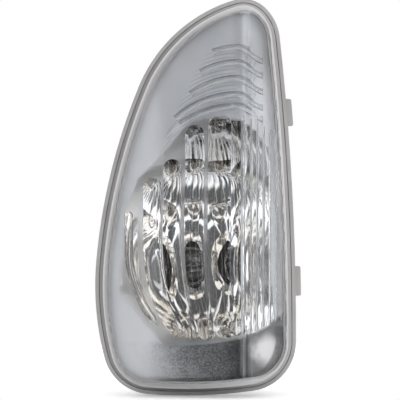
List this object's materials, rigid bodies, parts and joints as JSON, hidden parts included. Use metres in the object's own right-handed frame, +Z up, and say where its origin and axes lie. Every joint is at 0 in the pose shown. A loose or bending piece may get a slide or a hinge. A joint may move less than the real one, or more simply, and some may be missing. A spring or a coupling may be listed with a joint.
{
  "type": "vehicle indicator lamp",
  "caption": "Tall clear-lens vehicle direction indicator with a metallised reflector, fluted lens optics and a twist-lock rear bulb holder.",
  "frame": {"origin": "midway between the two screw bosses, in the plane of their rear faces", "axes": "+X to the right seen from the front, +Y to the rear along the screws, +Z up the long side of the lamp"},
  "size_m": [0.0833, 0.077, 0.1605],
  "materials": {
    "housing_plastic": "light grey moulded plastic, fine grain",
    "lens_plastic": "clear moulded, smooth outside, fluted inside",
    "reflector_metallised": "vacuum metallised, polished bowl and satin surround",
    "membrane": "thin breathable film",
    "holder_plastic": "black moulded plastic",
    "seal_rubber": "soft black rubber",
    "contact_brass": "tin plated brass",
    "bulb_glass": "lightly amber tinted glass",
    "bulb_wire": "drawn nickel wire",
    "filament_wire": "drawn tungsten wire"
  },
  "bodies": {
    "lamp": {"housing": "housing_plastic", "lens": "lens_plastic", "reflector": "reflector_metallised", "vent_membrane": "membrane"},
    "bulb_socket": {"bulb_holder": "holder_plastic", "holder_seal": "seal_rubber", "contact_left": "contact_brass", "contact_right": "contact_brass", "bulb_glass": "bulb_glass", "bulb_lead_left": "bulb_wire", "bulb_lead_right": "bulb_wire", "bulb_filament": "filament_wire"}
  },
  "joints": [
    {"name": "socket_twist", "type": "hinge", "parent": "lamp", "child": "bulb_socket", "pos_m": [-0.00775, 0, -0.0235], "axis": [0, 1, 0], "range_deg": [0, 45]}
  ]
}
